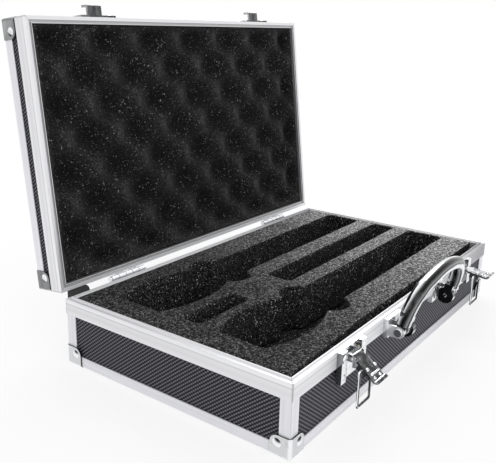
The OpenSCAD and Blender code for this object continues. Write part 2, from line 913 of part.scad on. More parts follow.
// The bracket on the right of the handle's middle is a pressed box with a window between its ears
module handle_bracket() {
    box_l = bracket_out_x - bracket_in_x;
    window_x = ear_in_x + bracket_t;
    difference() {
        union() {
            difference() {
                translate([bracket_in_x, -bracket_out, bracket_z]) cube([box_l, bracket_out, bracket_h]);
                translate([bracket_in_x + bracket_t, bracket_t - bracket_out, bracket_z + bracket_t])
                    cube([box_l - 2 * bracket_t, bracket_out, bracket_h - 2 * bracket_t]);
                translate([window_x, -bracket_out - 1, bracket_z + window_z])
                    cube([ear_out_x - window_x, bracket_out, bracket_h - 2 * window_z]);
            }
            for (x = [ear_in_x, ear_out_x]) {
                translate([x, -handle_out, handle_z - ear_r])
                    cube([bracket_t, handle_out - eps, 2 * ear_r]);
                translate([x, -handle_out, handle_z])
                    rotate([0, 90, 0]) cylinder(r = ear_r, h = bracket_t);
            }
        }
        translate([ear_in_x - 1, -handle_out, handle_z])
            rotate([0, 90, 0])
                cylinder(r = handle_pin_r + pin_play, h = bracket_out_x - ear_in_x + 2);
        bracket_rivet_places() shank_hole(bracket_t);
    }
}

module both_ends() {
    for (s = [0, 1])
        mirror([s, 0, 0]) front_at(0, 0) children();
}

module handle_brackets() {
    color(chrome) both_ends() handle_bracket();
}
module handle_bracket_rivets() {
    color(chrome) both_ends() bracket_rivet_places() rivet(bracket_t);
}
module handle_pins() {
    pin_in = ear_in_x + 0.2;
    color(chrome)
        both_ends()
            translate([pin_in, -handle_out, handle_z]) rotate([0, 90, 0]) {
                cylinder(r = handle_pin_r, h = bracket_out_x - pin_in + 0.1);
                translate([0, 0, bracket_out_x - pin_in + 0.1])
                    cylinder(r = handle_pin_r + 1.1, h = 1);
            }
}

// A stretch of the grip that bends round the origin, from one angle to another. It stops short
// of both, where a ball joins it to the next stretch
module grip_arc(r, from, to) {
    short = asin(ball_gap / r);
    rotate([90, 0, 0]) rotate([0, 0, from + short])
        rotate_extrude(angle = to - from - 2 * short, $fn = 96)
            translate([r, 0]) circle(grip_r, $fn = 32);
}

module grip_ball(x, z) {
    translate([x, 0, z]) sphere(grip_r + ball_over);
}

// The handle stands up from its pivots, which are on the X axis
module upright_handle() {
    neck_r = eye_r - 0.4;
    difference() {
        union() {
            translate([0, 0, grip_rise - bow_r]) grip_arc(bow_r, 90 - bow_half, 90 + bow_half);
            for (s = [0, 1])
                mirror([s, 0, 0]) {
                    grip_ball(bow_r * sin(bow_half), grip_rise - bow_r + bow_r * cos(bow_half));
                    translate([shoulder_x, 0, leg_rise]) grip_arc(shoulder_r, 0, 90 - bow_half);
                    grip_ball(eye_x, leg_rise);
                    translate([eye_x, 0, leg_foot])
                        cylinder(r = grip_r, h = leg_rise - ball_gap - leg_foot);
                    translate([eye_x - eye_w / 2, 0, 0])
                        rotate([0, 90, 0]) cylinder(r = eye_r, h = eye_w);
                    translate([eye_x - eye_w / 2, -neck_r, 0])
                        cube([eye_w, 2 * neck_r, leg_foot + eps]);
                    translate([cheek_x, 0, 0])
                        rotate([0, 90, 0]) cylinder(r = cheek_r, h = cheek_t);
                    translate([cheek_x, -neck_r, leg_foot])
                        cube([eye_x - cheek_x, 2 * neck_r, neck_h]);
                }
        }
        translate([-case_w, 0, 0])
            rotate([0, 90, 0]) cylinder(r = handle_pin_r + pin_play, h = 2 * case_w);
    }
}

module handle_grip() {
    color(chrome)
        front_at(0, handle_z) translate([0, -handle_out, 0]) rotate([handle_lean, 0, 0])
            upright_handle();
}

// ---------------------------------------------------------------- lid

module lid_top_panel() {
    color(dark_panel) lid_place() flat_panel(lid_h);
}
module lid_front_panel() {
    color(dark_panel) lid_place() side_panel(FRONT, lid_h);
}
module lid_back_panel() {
    color(dark_panel) lid_place() side_panel(BACK, lid_h);
}
module lid_left_panel() {
    color(dark_panel) lid_place() side_panel(LEFT, lid_h);
}
module lid_right_panel() {
    color(dark_panel) lid_place() side_panel(RIGHT, lid_h);
}
module lid_rim_front() {
    color(metal) lid_place() rim(FRONT, false);
}
module lid_rim_right() {
    color(metal) lid_place() rim(RIGHT, false);
}
module lid_rim_back() {
    color(metal) lid_place() rim(BACK, false);
}
module lid_rim_left() {
    color(metal) lid_place() rim(LEFT, false);
}
module lid_corner_posts() {
    color(metal) lid_place() posts(lid_h);
}
module lid_edge_front() {
    color(metal) lid_place() edge(FRONT, lid_h);
}
module lid_edge_right() {
    color(metal) lid_place() edge(RIGHT, lid_h);
}
module lid_edge_back() {
    color(metal) lid_place() edge(BACK, lid_h);
}
module lid_edge_left() {
    color(metal) lid_place() edge(LEFT, lid_h);
}
module lid_corner_caps() {
    color(chrome) lid_place() corner_caps(lid_h, 3);
}
module lid_cap_rivets() {
    color(chrome) lid_place() cap_rivets(lid_h, 3);
}

// The lining in a shell's frame: its waves face the closing face, and its back lies on the panel
module lining() {
    nx = egg_nx;
    ny = egg_ny;
    back_z = wall_t + floor_t + foam_gap - lid_h;
    function px(i) = -foam_half_w + 2 * foam_half_w * i / nx;
    function py(j) = -foam_half_d + 2 * foam_half_d * j / ny;
    function swell(at, first, pitch) = cos(360 * (at - first) / pitch);
    function wave(x, y) = swell(x + half_w, egg_first_x, egg_x) * swell(y + half_d, egg_first_y, egg_y);
    function front_z(x, y) = -egg_in - egg_deep / 2 * (1 - wave(x, y));
    top = [for (j = [0:ny], i = [0:nx]) [px(i), py(j), front_z(px(i), py(j))]];
    n = len(top);
    ring = concat(
        [for (i = [0:nx - 1]) i],
        [for (j = [0:ny - 1]) j * (nx + 1) + nx],
        [for (i = [nx:-1:1]) ny * (nx + 1) + i],
        [for (j = [ny:-1:1]) j * (nx + 1)]
    );
    m = len(ring);
    back = [for (k = ring) [top[k][0], top[k][1], back_z]];
    centre = n + m;
    waves = [
        for (j = [0:ny - 1], i = [0:nx - 1], t = [0, 1])
            let (a = j * (nx + 1) + i, b = a + 1, c = a + nx + 1, d = c + 1)
                t == 0 ? [a, c, d] : [a, d, b]
    ];
    walls = [
        for (k = [0:m - 1], t = [0, 1])
            let (e = (k + 1) % m)
                t == 0 ? [ring[k], ring[e], n + e] : [ring[k], n + e, n + k]
    ];
    floors = [for (k = [0:m - 1]) [n + k, n + (k + 1) % m, centre]];
    polyhedron(concat(top, back, [[0, 0, back_z]]), concat(waves, walls, floors));
}

module egg_crate_lining() {
    color([0.13, 0.13, 0.14]) lid_place() lining();
}

// ---------------------------------------------------------------- the whole case

base_bottom_panel();
base_front_panel();
base_back_panel();
base_left_panel();
base_right_panel();
base_rim_front();
base_rim_right();
base_rim_back();
base_rim_left();
base_corner_posts();
base_edge_front();
base_edge_right();
base_edge_back();
base_edge_left();
base_corner_caps();
base_cap_rivets();
foam_insert();
foam_floor_pad();
hinge_base_leaves();
hinge_base_rivets();
hinge_pins();
lid_stop_block();
left_latch_plate();
right_latch_plate();
latch_plate_rivets();
lever_pins();
handle_brackets();
handle_bracket_rivets();
handle_pins();
lid_top_panel();
lid_front_panel();
lid_back_panel();
lid_left_panel();
lid_right_panel();
lid_rim_front();
lid_rim_right();
lid_rim_back();
lid_rim_left();
lid_corner_posts();
lid_edge_front();
lid_edge_right();
lid_edge_back();
lid_edge_left();
lid_corner_caps();
lid_cap_rivets();
egg_crate_lining();
hinge_lid_leaves();
hinge_lid_rivets();
left_keeper();
right_keeper();
keeper_rivets();
left_lever();
right_lever();
left_bail();
right_bail();
handle_grip();
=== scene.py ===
import json
import math

import bpy
from mathutils import Matrix, Vector

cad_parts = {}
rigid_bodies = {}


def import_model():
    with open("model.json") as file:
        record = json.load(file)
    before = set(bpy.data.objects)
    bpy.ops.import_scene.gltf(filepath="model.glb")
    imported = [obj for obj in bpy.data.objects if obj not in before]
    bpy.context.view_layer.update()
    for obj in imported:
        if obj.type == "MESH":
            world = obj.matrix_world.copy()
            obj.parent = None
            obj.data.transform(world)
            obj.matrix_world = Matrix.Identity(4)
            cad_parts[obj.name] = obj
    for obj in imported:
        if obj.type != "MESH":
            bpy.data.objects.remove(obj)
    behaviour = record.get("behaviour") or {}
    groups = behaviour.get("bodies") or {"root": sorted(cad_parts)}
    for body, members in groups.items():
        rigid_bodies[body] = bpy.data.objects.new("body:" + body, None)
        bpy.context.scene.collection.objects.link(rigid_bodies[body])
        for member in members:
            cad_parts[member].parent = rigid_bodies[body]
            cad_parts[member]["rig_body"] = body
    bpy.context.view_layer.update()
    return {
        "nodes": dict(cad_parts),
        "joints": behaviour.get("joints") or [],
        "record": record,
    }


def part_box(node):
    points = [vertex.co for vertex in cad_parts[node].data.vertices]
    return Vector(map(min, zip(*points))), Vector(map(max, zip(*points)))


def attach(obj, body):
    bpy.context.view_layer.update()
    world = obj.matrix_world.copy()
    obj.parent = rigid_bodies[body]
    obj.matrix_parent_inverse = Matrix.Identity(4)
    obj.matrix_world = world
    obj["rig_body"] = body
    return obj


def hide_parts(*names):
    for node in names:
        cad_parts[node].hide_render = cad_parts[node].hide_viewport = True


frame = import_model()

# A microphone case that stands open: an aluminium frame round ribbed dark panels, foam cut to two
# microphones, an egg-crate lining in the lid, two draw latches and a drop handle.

MM = 0.001
SLOT_OF = {part["node"]: part["material_slot"] for part in frame["record"]["subparts"]}
BODY_OF = {node: piece["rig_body"] for node, piece in frame["nodes"].items()}

# ---------------------------------------------------------------- places, from the frame

JOINTS = {joint["name"]: joint for joint in frame["joints"]}
HINGE = Vector(JOINTS["lid_hinge"]["pos_m"])
SHUT_TURN = math.radians(JOINTS["lid_hinge"]["range_deg"][1])
HALF_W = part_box("base_rim_front")[1].x
HALF_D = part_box("base_rim_back")[1].y
RIM_GAP = 0.3 * MM

# From a shell's own frame, whose closing face is z = 0 and whose outer face is below, to the open lid
LID_SHELL = (
    Matrix.Translation(HINGE)
    @ Matrix.Rotation(-SHUT_TURN, 4, "X")
    @ Matrix.Translation((0, -HINGE.y, RIM_GAP))
    @ Matrix.Scale(-1, 4, (0, 0, 1))
)

# ---------------------------------------------------------------- finishes


class Signal:
    """A socket of a finish's node tree. Plain arithmetic on it adds the Math nodes."""

    def __init__(self, finish, socket):
        self.finish = finish
        self.socket = socket

    def math(self, operation, first, second=0.0):
        return self.finish.node("ShaderNodeMath", {"operation": operation}, {0: first, 1: second})

    def __add__(self, other):
        return self.math("ADD", self, other)

    def __sub__(self, other):
        return self.math("SUBTRACT", self, other)

    def __rsub__(self, other):
        return self.math("SUBTRACT", other, self)

    def __mul__(self, other):
        return self.math("MULTIPLY", self, other)

    def least(self, other):
        return self.math("MINIMUM", self, other)

    def size(self):
        return self.math("ABSOLUTE", self)

    def sine(self):
        """The sine of a count of turns, from 0 to 1."""
        return self.math("SINE", self * (2 * math.pi)) * 0.5 + 0.5

    __radd__ = __add__
    __rmul__ = __mul__


class Finish:
    """A material whose nodes are written as expressions."""

    def __init__(self, name, constants):
        self.material = bpy.data.materials.new(name)
        self.material.use_nodes = True
        self.tree = self.material.node_tree
        self.shader = self.tree.nodes["Principled BSDF"]
        for socket, value in constants.items():
            self.shader.inputs[socket].default_value = value

    def node(self, kind, settings, inputs, output=0):
        """Adds a node of a type, sets it up, feeds its sockets and gives back one output."""
        node = self.tree.nodes.new(kind)
        for name, value in settings.items():
            if name == "stops":
                self.set_stops(node.color_ramp, value)
            else:
                setattr(node, name, value)
        for name, value in inputs.items():
            self.feed(node.inputs[name], value)
        return Signal(self, node.outputs[output])

    def feed(self, socket, value):
        if isinstance(value, Signal):
            self.tree.links.new(value.socket, socket)
        else:
            socket.default_value = value

    @staticmethod
    def set_stops(ramp, stops):
        for element in list(ramp.elements)[1:]:
            ramp.elements.remove(element)
        for index, (place, tone) in enumerate(stops):
            element = ramp.elements[0] if index == 0 else ramp.elements.new(place)
            element.position = place
            element.color = tone if hasattr(tone, "__len__") else (tone, tone, tone, 1)

    def place(self, stretch=(1, 1, 1)):
        """The point on the object, in metres, stretched."""
        coordinate = self.node("ShaderNodeTexCoord", {}, {}, "Object")
        return self.node("ShaderNodeMapping", {}, {"Vector": coordinate, "Scale": stretch})

    def vector(self, operation, inputs, output=0):
        return self.node("ShaderNodeVectorMath", {"operation": operation}, inputs, output)

    def drawn(self, run):
        """The point, squeezed along a profile's run, so that noise turns into drawing lines."""
        run = Vector(run).normalized()
        squeeze = 0.985
        reach = self.vector("DOT_PRODUCT", {0: self.place(), 1: run}, "Value")
        slip = self.vector("SCALE", {0: run, "Scale": reach * squeeze})
        return self.vector("SUBTRACT", {0: self.place(), 1: slip})

    def lean(self):
        """How far the face leans towards its finish's own direction, from 0 to 1, off the mesh."""
        return self.node("ShaderNodeAttribute", {"attribute_name": LEAN}, {}, "Fac") * 0.5 + 0.5

    def along(self, direction):
        """How far the point lies along a direction, in millimetres."""
        return self.vector("DOT_PRODUCT", {0: self.place(), 1: Vector(direction) / MM}, "Value")

    def noise(self, scale, detail, stretch=(1, 1, 1), rough=0.5, point=None):
        """Noise from 0 to 1, with a scale in features per metre, on the point or on a given one."""
        return self.node(
            "ShaderNodeTexNoise", {},
            {"Vector": point or self.place(stretch), "Scale": scale, "Detail": detail, "Roughness": rough},
        )

    def ramp(self, value, *stops):
        """A value from 0 to 1 turned into tones, by stops of a place and a tone."""
        return self.node("ShaderNodeValToRGB", {"stops": stops}, {"Fac": value})

    def mix(self, share, first, second):
        """A colour between two, by a share from 0 to 1."""
        sockets = {0: share, 6: first, 7: second}
        return self.node("ShaderNodeMix", {"data_type": "RGBA"}, sockets, 2)

    def shaded(self, color, shade):
        """A colour darkened by a shade, where 1 leaves it as it is."""
        settings = {"data_type": "RGBA", "blend_type": "MULTIPLY"}
        return self.node("ShaderNodeMix", settings, {0: 1.0, 6: color, 7: shade}, 2)

    def bump(self, height, depth, strength):
        """A Bump node on a height from 0 to 1 that stands for a depth in metres."""
        sockets = {"Height": height, "Distance": depth, "Strength": strength}
        return self.node("ShaderNodeBump", {}, sockets, "Normal")

    def set(self, color, roughness, normal):
        self.feed(self.shader.inputs["Base Color"], color)
        self.feed(self.shader.inputs["Roughness"], roughness)
        self.feed(self.shader.inputs["Normal"], normal)
        return self.material


def grey(level):
    """A grey from 0 to 255, as a picture shows it, as a linear colour."""
    share = level / 255
    linear = share / 12.92 if share <= 0.04045 else ((share + 0.055) / 1.055) ** 2.4
    return (linear, linear, linear, 1)


def tinted(level, red=1.0, blue=1.0):
    """A grey whose red and blue are raised or lowered by a factor."""
    linear = grey(level)[0]
    return (linear * red, linear, linear * blue, 1)


# The attribute that says how far each corner's face leans towards its finish's own direction
LEAN = "lean"


def aluminium(name, run, metal, across, middle, depth=None, deep=0.0, right_shade=0.0):
    """
    Satin extruded aluminium, with fine lines along its run. The metal is darker along the shell's outer
    corner
    edges: across points from a shell's front to its back, and middle is how far along it the shell's
    middle is. A rim is also given a depth, which points from its closing face outwards, and deep, how far
    along it that face
    is: it has a bright bead at the face, a painted highlight, and a fine groove under it, drawn as a line
    of painted shade, and painted shade inside. Towards the right end of the case painted shade darkens the
    metal, by a given share.
    """
    rim_mm = 16
    corner_mm = 1.1
    finish = Finish(name, {"Metallic": metal})
    streaks = finish.noise(1500, 3, rough=0.7, point=finish.drawn(run))
    bands = finish.noise(420, 1, point=finish.drawn(run))
    clouds = finish.noise(46, 3, rough=0.65)
    specks = finish.ramp(finish.noise(330, 4, rough=0.75), (0.7, 0), (0.78, 1))
    base = finish.mix(streaks, tinted(220, 1.0, 1.06), tinted(252, 1.0, 1.04))
    base = finish.mix(finish.ramp(bands, (0.35, 0.0), (0.65, 0.4)), base, tinted(214, 1.0, 1.07))
    inside_x = HALF_W / MM - finish.along((1, 0, 0)).size()
    inside_y = HALF_D / MM - (finish.along(across) - middle).size()
    if depth is not None:
        down = finish.along(depth) - deep
        # Painted highlight on the bead at the closing face, and a line of painted shade in the groove
        # under it
        profile = finish.ramp(
            down * (1 / rim_mm),
            (0.0, grey(236)), (0.03, grey(250)), (0.17, grey(252)), (0.19, grey(186)), (0.215, grey(196)),
            (0.25, grey(236)), (0.45, grey(220)), (0.62, grey(236)), (0.8, grey(250)),
        )
        base = finish.mix(0.55, base, profile)
        # Painted shade inside the rim: from 1 to 1.4 mm inside the outer faces, and from 0.2 to 0.5 mm
        # below the closing face
        rim_inside_shade = finish.ramp(inside_x.least(inside_y) * 0.1, (0.1, 0), (0.14, 1))
        sunk = finish.ramp(down * 0.5, (0.08, 0), (0.25, 0.75))
        base = finish.mix(rim_inside_shade * sunk, base, tinted(158))
    # Darker along the shell's outer corner edges
    corner = (corner_mm - inside_x).least(corner_mm - inside_y)
    base = finish.mix(finish.ramp(corner, (0.0, 0), (0.5, 0.55)), base, tinted(160))
    # Painted shade: the profiles along X darken towards the case's right end
    if right_shade:
        from_left = finish.along((1, 0, 0)) * (0.5 * MM / HALF_W) + 0.5
        base = finish.mix(finish.ramp(from_left, (0.55, 0), (0.97, right_shade)), base, tinted(128, 1.0, 1.07))
    worn = finish.mix(specks * 0.3, base, tinted(180))
    return finish.set(
        color=finish.mix(clouds * 0.2, worn, tinted(212, 1.0, 1.07)),
        roughness=0.32 + streaks * 0.16,
        normal=finish.bump(streaks, 0.04 * MM, 0.6),
    )


def ribbed_plastic():
    """Dark plastic sheet embossed with fine slanting ribs, and a weaker set across them."""
    finish = Finish("ribbed_panel_plastic", {"Specular IOR Level": 0.16})
    ribs_per_mm = (0.303, 0.303, 0.375)
    cross_ribs_per_mm = (-0.312, -0.312, 0.391)
    weave = finish.along(ribs_per_mm).sine() * 0.66 + finish.along(cross_ribs_per_mm).sine() * 0.34
    grain = finish.noise(2600, 2)
    broad = finish.noise(30, 2)
    tone = finish.ramp(
        weave * 0.9 + grain * 0.1,
        (0.16, tinted(5, 1.02, 1.22)), (0.38, tinted(24, 1.02, 1.22)),
        (0.62, tinted(66, 1.02, 1.2)), (0.88, tinted(124, 1.01, 1.14)),
    )
    return finish.set(
        color=finish.mix(broad * 0.12, tone, tinted(52, 1.02, 1.2)),
        roughness=0.42 + grain * 0.2,
        normal=finish.bump(weave, 0.32 * MM, 0.7),
    )


def plated(name, roughness, wobble, *stops, metal=1.0, ripples=85):
    """
    Polished plating, whose tone runs through bands of painted reflection as the surface leans, by stops of
    a lean and a grey from 0 to 255. Slow ripples, of a number to the metre, move the bands by a part of
    the wobble.
    """
    finish = Finish(name, {"Metallic": metal})
    marks = finish.noise(900, 3, (1, 1, 0.25), 0.65)
    ripple = finish.noise(ripples, 2, (1, 1, 0.35))
    # Painted reflections: the tone's bands follow how the face leans
    lean = finish.lean() + (ripple - 0.5) * wobble
    tone = finish.ramp(lean, *[(place, tinted(level, 0.985, 1.02)) for place, level in stops])
    stains = finish.ramp(finish.noise(240, 3, rough=0.6), (0.55, 0), (0.7, 1))
    return finish.set(
        color=finish.mix(stains * 0.22, tone, tinted(150)),
        roughness=roughness + marks * 0.07,
        normal=finish.bump(marks, 0.02 * MM, 0.35),
    )


def spring_steel():
    """Warm grey steel, for the coils beside the levers."""
    finish = Finish("spring_steel", {"Metallic": 0.9})
    marks = finish.noise(1300, 3)
    return finish.set(
        color=finish.mix(marks, tinted(96, 1.06, 0.8), tinted(188, 1.05, 0.86)),
        roughness=0.25 + marks * 0.2,
        normal=finish.bump(marks, 0.05 * MM, 0.5),
    )


def rubber():
    """Matt black rubber, for the block that the open lid rests on."""
    finish = Finish("black_rubber", {"Specular IOR Level": 0.3})
    grain = finish.noise(1800, 3)
    return finish.set(
        color=finish.mix(grain, tinted(26), tinted(58)),
        roughness=0.55 + grain * 0.25,
        normal=finish.bump(grain, 0.1 * MM, 0.5),
    )


def foam(name, tones, far_tones, glint, glint_share, cell, spark, hollows=None):
    """
    Open-cell foam: pores and cell walls of a cell's size, with painted glints: bright spots of a spark's
    size scattered over it. The three tones change to the far tones from the left end of the case to the
    right one, as painted light and shade. Where hollows are given, they are dark with painted shade, and
    the flanks that lean the finish's own way are pale with painted light: hollows hold the direction that
    they go down in, and how far along it they start and end, in millimetres.
    """
    finish = Finish(name, {"Specular IOR Level": 0.15})
    cells = finish.noise(1 / (cell * MM), 3, rough=0.8)
    fine = finish.noise(2.4 / (cell * MM), 2, rough=0.7)
    grains = cells * 0.5 + fine * 0.5
    patches = finish.noise(34, 2)
    near, far = (
        finish.ramp(grains, (0.38, grey(shades[0])), (0.5, grey(shades[1])), (0.62, grey(shades[2])))
        for shades in (tones, far_tones)
    )
    # Painted light and shade: the tones change from the case's left end to its right one
    fade_mm = 330
    right = finish.ramp(
        finish.along((1, -0.35, 0)) * (1 / fade_mm) + 0.5 + (patches - 0.5) * 0.25,
        (0.15, 0), (0.3, 0.06), (0.49, 0.36), (0.67, 0.6), (0.76, 0.85), (0.9, 1),
    )
    tone = finish.mix(right, near, far)
    if hollows:
        # Painted shade that deepens down the hollows, and painted light on the flanks that lean the
        # finish's way
        direction, start, end = hollows
        sunk = (finish.along(direction) - start) * (1 / (end - start))
        depth_shade = finish.ramp(sunk, (0.0, 1.0), (0.35, 0.62), (0.7, 0.36), (1.0, 0.24))
        flank_shade = finish.ramp(finish.lean(), (0.3, 0.3), (0.5, 0.42), (0.64, 0.8), (0.8, 1.0))
        tone = finish.shaded(finish.shaded(tone, depth_shade), flank_shade)
    # Painted glints: bright spots scattered over the foam
    sparks = finish.noise(1 / (spark * MM), 1, (1, 1.07, 0.93), 0.5)
    brilliance = finish.ramp(finish.noise(240, 1), (0.42, 0.15), (0.62, 1))
    painted_glints = finish.ramp(sparks, (glint_share, 0), (glint_share + 0.05, 1)) * brilliance
    return finish.set(
        color=finish.mix(painted_glints, tone, tinted(glint)),
        roughness=0.85 + grains * 0.1,
        normal=finish.bump(grains, 0.5 * MM, 0.9),
    )


# A shell's directions, along its sides from front to back and from its closing face outwards, and a
# point of its closing face
RUNS = {"base": Vector((0, 1, 0)), "lid": LID_SHELL.to_3x3() @ Vector((0, 1, 0))}
DEPTHS = {"base": Vector((0, 0, -1)), "lid": LID_SHELL.to_3x3() @ Vector((0, 0, -1))}
LANDS = {"base": Vector((0, 0, HINGE.z)), "lid": LID_SHELL @ Vector((0, 0, 0))}

# How metallic a shell's profiles are, and how much painted shade darkens the ones along X at the case's
# right end
METAL_SHARES = {"base": 0.35, "lid": 0.75}
RIGHT_SHADES = {"base": 0.85, "lid": 0.0}

# How far down the lid the painted shade in the hollows of its lining starts and ends, in millimetres
LID_FACE = LANDS["lid"].dot(DEPTHS["lid"]) / MM
LINING_HOLLOWS = (DEPTHS["lid"], LID_FACE + 2.2, LID_FACE + 12)


def shell_aluminium(shell):
    """The finishes of a shell's profiles: along X, along its sides, and along its posts."""
    run, depth, land, right_shade = RUNS[shell], DEPTHS[shell], LANDS[shell], RIGHT_SHADES[shell]
    placed = {"metal": METAL_SHARES[shell], "across": run, "middle": land.dot(run) / MM}
    rim = {"depth": depth, "deep": land.dot(depth) / MM}
    along_x = Vector((1, 0, 0))
    return {
        f"{shell}_rim_x": aluminium(f"{shell}_rim_x_run", along_x, right_shade=right_shade, **rim, **placed),
        f"{shell}_rim_y": aluminium(f"{shell}_rim_y_run", run, **rim, **placed),
        f"{shell}_x": aluminium(f"{shell}_edge_x_run", along_x, right_shade=right_shade, **placed),
        f"{shell}_y": aluminium(f"{shell}_edge_y_run", run, **placed),
        f"{shell}_z": aluminium(f"{shell}_post_run", depth, **placed),
    }


FINISHES = {
    **shell_aluminium("base"),
    **shell_aluminium("lid"),
    "ribbed_panel": ribbed_plastic(),
    "nickel_caps": plated(
        "nickel_plate", 0.2, 0.12,
        (0.0, 40), (0.3, 70), (0.42, 120), (0.6, 180), (0.7, 206), (0.82, 220), (0.88, 246), (1.0, 255),
    ),
    "dull_caps": plated(
        "dull_nickel_plate", 0.26, 0.5,
        (0.0, 30), (0.4, 60), (0.58, 110), (0.68, 175), (0.76, 150), (0.83, 122), (0.9, 160), (1.0, 235),
    ),
    "latch_chrome": plated(
        "latch_chrome", 0.08, 0.26,
        (0.0, 90), (0.12, 120), (0.25, 190), (0.4, 210), (0.5, 100), (0.6, 150), (0.7, 170),
        (0.745, 70), (0.78, 236), (0.87, 250), (0.915, 235), (0.96, 120), (1.0, 66), ripples=170,
    ),
    "bracket_chrome": plated(
        "bracket_chrome", 0.14, 0.3,
        (0.0, 90), (0.2, 190), (0.4, 120), (0.5, 120), (0.6, 246), (0.7, 240),
        (0.76, 90), (0.8, 236), (0.87, 250), (1.0, 240), metal=0.6, ripples=150,
    ),
    "fitting_chrome": plated(
        "fitting_chrome", 0.1, 0.3,
        (0.0, 60), (0.2, 40), (0.4, 120), (0.55, 60), (0.66, 235), (0.8, 252), (0.9, 250), (1.0, 200),
        ripples=200,
    ),
    "keeper_chrome": plated(
        "keeper_chrome", 0.14, 0.3,
        (0.0, 200), (0.3, 235), (0.45, 120), (0.6, 130), (0.68, 170), (0.74, 240), (0.84, 110),
        (0.92, 66), (1.0, 110), ripples=200,
    ),
    "bail_chrome": plated(
        "bail_chrome", 0.08, 0.1,
        (0.0, 30), (0.05, 40), (0.12, 245), (0.8, 252), (0.88, 60), (0.95, 70), (1.0, 130),
    ),
    "bail_shade": plated(
        "bail_chrome_in_shade", 0.1, 0.12,
        (0.0, 220), (0.2, 150), (0.4, 235), (0.5, 90), (0.6, 50), (0.9, 44), (0.955, 200), (1.0, 245),
    ),
    "grip_chrome": plated(
        "grip_chrome", 0.06, 0.26,
        (0.0, 60), (0.04, 30), (0.1, 235), (0.26, 250), (0.34, 190), (0.41, 96), (0.5, 44), (0.66, 28),
        (0.78, 110), (0.84, 150), (0.88, 60), (0.92, 70), (0.955, 240), (1.0, 250), ripples=42,
    ),
    "hinge_steel": plated(
        "hinge_steel", 0.2, 0.2,
        (0.0, 90), (0.3, 120), (0.5, 210), (0.75, 240), (1.0, 246),
    ),
    "base_cap_rivet": plated(
        "cap_rivet_steel", 0.12, 0.1,
        (0.0, 190), (0.4, 225), (0.62, 252), (0.77, 240), (0.84, 110), (0.89, 30), (0.94, 60), (1.0, 150),
    ),
    "rivet_steel": plated(
        "rivet_steel", 0.12, 0.1,
        (0.0, 250), (0.5, 245), (0.76, 225), (0.84, 80), (0.93, 50), (1.0, 110),
    ),
    "spring_steel": spring_steel(),
    "black_rubber": rubber(),
    "foam_top": foam("foam_top", (2, 26, 128), (12, 104, 255), 225, 0.7, 2.2, 1.3),
    "foam_cut": foam("foam_cut", (3, 14, 84), (3, 12, 66), 255, 0.66, 2.0, 0.9),
    "lining": foam("lining_foam", (20, 50, 96), (20, 50, 96), 170, 0.67, 2.0, 0.95, LINING_HOLLOWS),
}

# The direction that each plated finish's painted reflection bands run towards, and that the lining is pale
# towards with painted light. A piece's second finish, such as the painted shade on the bails, shares the
# direction of its first.
LEANS = {
    "latch_chrome": (-0.2, -0.62, 0.76),
    "bracket_chrome": (-0.2, -0.62, 0.76),
    "fitting_chrome": (-0.3, -0.55, 0.78),
    "keeper_chrome": (-0.3, -0.9, 0.3),
    "bail_chrome": (0, -1, -0.3),
    "grip_chrome": (0, -0.9, -0.45),
    "hinge_steel": (0, 0, 1),
    "rivet_steel": (-0.5, 0.35, -0.8),
    "base_cap_rivet": (-0.35, -0.35, 0.87),
    "lining": (1, 0, 0.25),
}

# The shells whose caps' painted reflection bands run outwards, towards the corner that a cap sits on
CAP_SHELLS = {"nickel_caps": "base", "dull_caps": "lid"}

# ---------------------------------------------------------------- modelling helpers


def activate(piece):
    """Selects a piece alone and makes it the active one."""
    bpy.ops.object.select_all(action="DESELECT")
    piece.select_set(True)
    bpy.context.view_layer.objects.active = piece


def finish_with(piece, kind, **settings):
    """Adds a modifier and applies it."""
    activate(piece)
    modifier = piece.modifiers.new(kind.title(), kind)
    for name, value in settings.items():
        setattr(modifier, name, value)
    bpy.ops.object.modifier_apply(modifier=modifier.name)


def smooth(piece, degrees):
    """Shades a piece smooth, but for the edges that are sharper than an angle."""
    activate(piece)
    bpy.ops.object.shade_smooth_by_angle(angle=math.radians(degrees))


def point_outwards(piece):
    """Turns the faces of a closed piece outwards."""
    activate(piece)
    bpy.ops.object.mode_set(mode="EDIT")
    bpy.ops.mesh.select_all(action="SELECT")
    bpy.ops.mesh.normals_make_consistent(inside=False)
    bpy.ops.object.mode_set(mode="OBJECT")


def merged_copy(node, name):
    """A copy of a node's mesh, with its loose triangles merged into clean faces."""
    piece = bpy.data.objects.new(name, frame["nodes"][node].data.copy())
    bpy.context.scene.collection.objects.link(piece)
    activate(piece)
    bpy.ops.mesh.customdata_custom_splitnormals_clear()
    bpy.ops.object.mode_set(mode="EDIT")
    bpy.ops.mesh.select_all(action="SELECT")
    bpy.ops.mesh.remove_doubles(threshold=2e-6)
    bpy.ops.mesh.mark_sharp(clear=True)
    bpy.ops.mesh.dissolve_limited(angle_limit=math.radians(0.5))
    bpy.ops.object.mode_set(mode="OBJECT")
    return piece


def outwards(shell, point):
    """The direction out of a shell at its corner nearest to a point."""
    run = RUNS[shell]
    side = math.copysign(1, point.x)
    end = math.copysign(1, (point - LANDS[shell]).dot(run))
    return (Vector((side, 0, 0)) + run * end + DEPTHS[shell]).normalized()


def dress(piece, finish, *more):
    """Gives a piece its finishes, and writes how far each corner's face leans where they follow that."""
    mesh = piece.data
    mesh.materials.clear()
    for name in (finish, *more):
        mesh.materials.append(FINISHES[name])
    if finish in LEANS or finish in CAP_SHELLS:
        layer = mesh.attributes.new(LEAN, "FLOAT", "CORNER")
        for corner, normal, loop in zip(layer.data, mesh.corner_normals, mesh.loops):
            if finish in LEANS:
                direction = Vector(LEANS[finish]).normalized()
            else:
                direction = outwards(CAP_SHELLS[finish], mesh.vertices[loop.vertex_index].co)
            corner.value = normal.vector.dot(direction)


